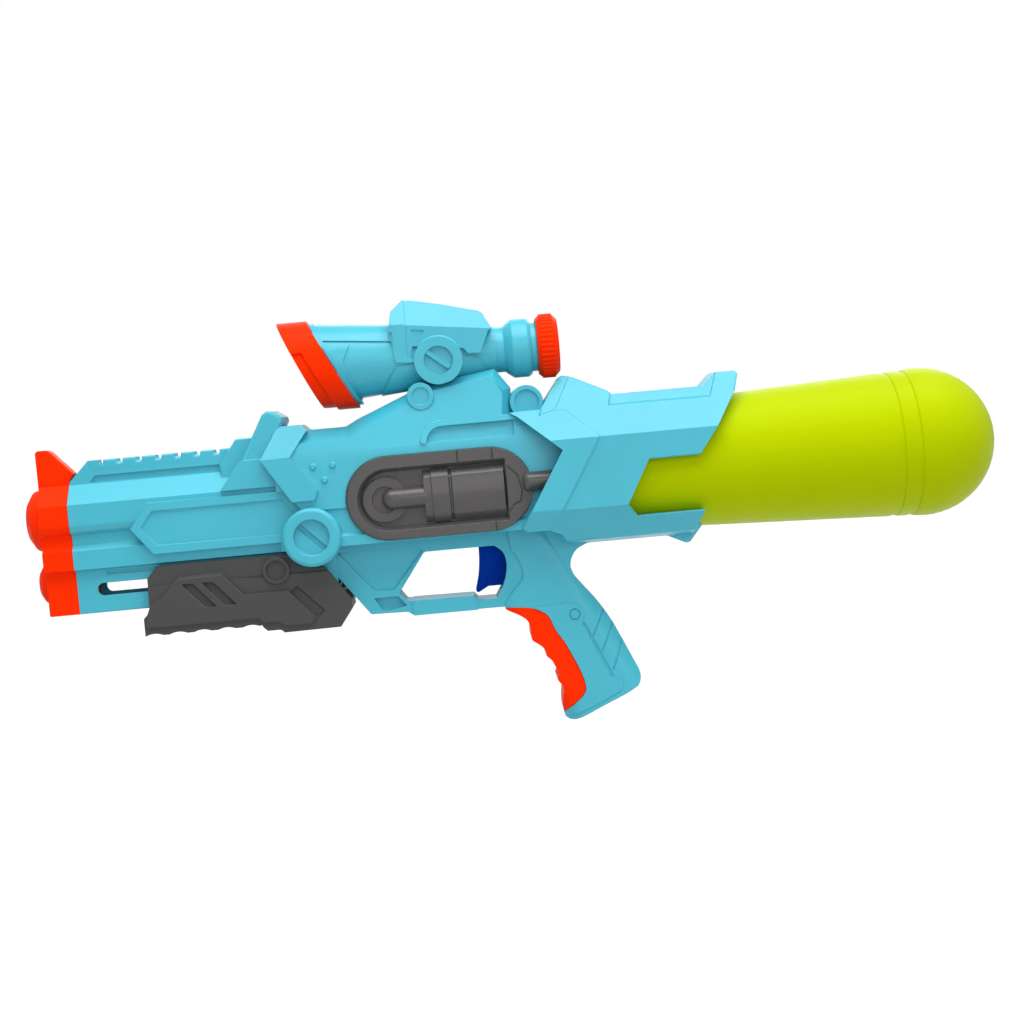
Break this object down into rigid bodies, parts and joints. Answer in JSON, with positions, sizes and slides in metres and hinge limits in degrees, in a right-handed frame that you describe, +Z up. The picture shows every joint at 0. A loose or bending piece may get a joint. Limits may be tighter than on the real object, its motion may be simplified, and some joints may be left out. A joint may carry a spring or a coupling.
{
  "type": "pump action water squirter",
  "caption": "Long toy water squirter with a sliding pump grip under the barrel, a trigger valve, a scope and a screw-in water tank held in a rear shroud.",
  "frame": {"origin": "centre of the nozzle's mouth, on the water line", "axes": "+X from the nozzle back along the water line to the tank, +Y to the squirter's right-hand side, +Z up"},
  "size_m": [0.5778, 0.089, 0.2571],
  "materials": {
    "casing": "satin moulded plastic, aqua",
    "orange_trim": "satin moulded plastic, orange-red",
    "panel": "satin moulded plastic, warm grey",
    "pump_plastic": "matt moulded plastic, dark grey",
    "trigger_plastic": "moulded plastic, deep blue",
    "tank_plastic": "satin moulded plastic, lime green",
    "white_plastic": "natural white moulded plastic",
    "black_plastic": "black moulded plastic",
    "seal_rubber": "black rubber",
    "hose": "milky soft plastic tube",
    "steel": "zinc-plated steel"
  },
  "bodies": {
    "housing": {"left_shell": "casing", "right_shell": "casing", "shell_screws": "steel", "muzzle_cap": "orange_trim", "water_nozzle": "white_plastic", "outlet_hose": "hose", "scope_left_shell": "casing", "scope_right_shell": "casing", "scope_screws": "steel", "scope_hood": "orange_trim", "left_side_panel": "panel", "right_side_panel": "panel", "finger_grip": "orange_trim", "trigger_pin": "steel", "valve_body": "white_plastic", "valve_spring": "steel", "pump_cylinder": "white_plastic", "cylinder_gland": "white_plastic", "cylinder_head": "white_plastic", "check_valve": "seal_rubber", "air_hose": "hose", "tank_socket": "white_plastic", "water_hose": "hose", "dip_tube": "hose"},
    "pump": {"pump_grip_left": "pump_plastic", "pump_grip_right": "pump_plastic", "pump_grip_screws": "steel", "pump_link": "pump_plastic", "piston_rod": "white_plastic", "piston": "white_plastic", "piston_o_ring": "seal_rubber"},
    "trigger": {"trigger": "trigger_plastic"},
    "valve": {"valve_plunger": "black_plastic", "plunger_o_ring": "seal_rubber"},
    "tank_seal": {"neck_o_ring": "seal_rubber"},
    "tank": {"water_tank": "tank_plastic"},
    "eyepiece": {"eyepiece_cap": "orange_trim"}
  },
  "joints": [
    {"name": "pump_slide", "type": "slide", "parent": "housing", "child": "pump", "axis": [-1, 0, 0], "range_m": [0, 0.034]},
    {"name": "trigger_pull", "type": "hinge", "parent": "housing", "child": "trigger", "pos_m": [0.268, 0, -0.024], "axis": [0, -1, 0], "range_deg": [0, 12], "stiffness_Nm_per_rad": 0.5, "springref_deg": -11.46},
    {"name": "valve_push", "type": "slide", "parent": "housing", "child": "valve", "axis": [1, 0, 0], "range_m": [0, 0.00252], "deforming": ["valve_spring"]},
    {"name": "tank_lead", "type": "slide", "parent": "housing", "child": "tank_seal", "axis": [1, 0, 0], "range_m": [0, 0.006]},
    {"name": "tank_unscrew", "type": "hinge", "parent": "tank_seal", "child": "tank", "pos_m": [0.4, 0, 0], "axis": [1, 0, 0], "range_deg": [0, 540]},
    {"name": "eyepiece_turn", "type": "hinge", "parent": "housing", "child": "eyepiece", "pos_m": [0.316, 0, 0.0772], "axis": [1, 0, 0], "continuous": true}
  ],
  "couplings": [
    {"joint": "valve_push", "follows": "trigger_pull", "m_per_rad": 0.012},
    {"joint": "tank_lead", "follows": "tank_unscrew", "m_per_rad": 0.00063662}
  ]
}
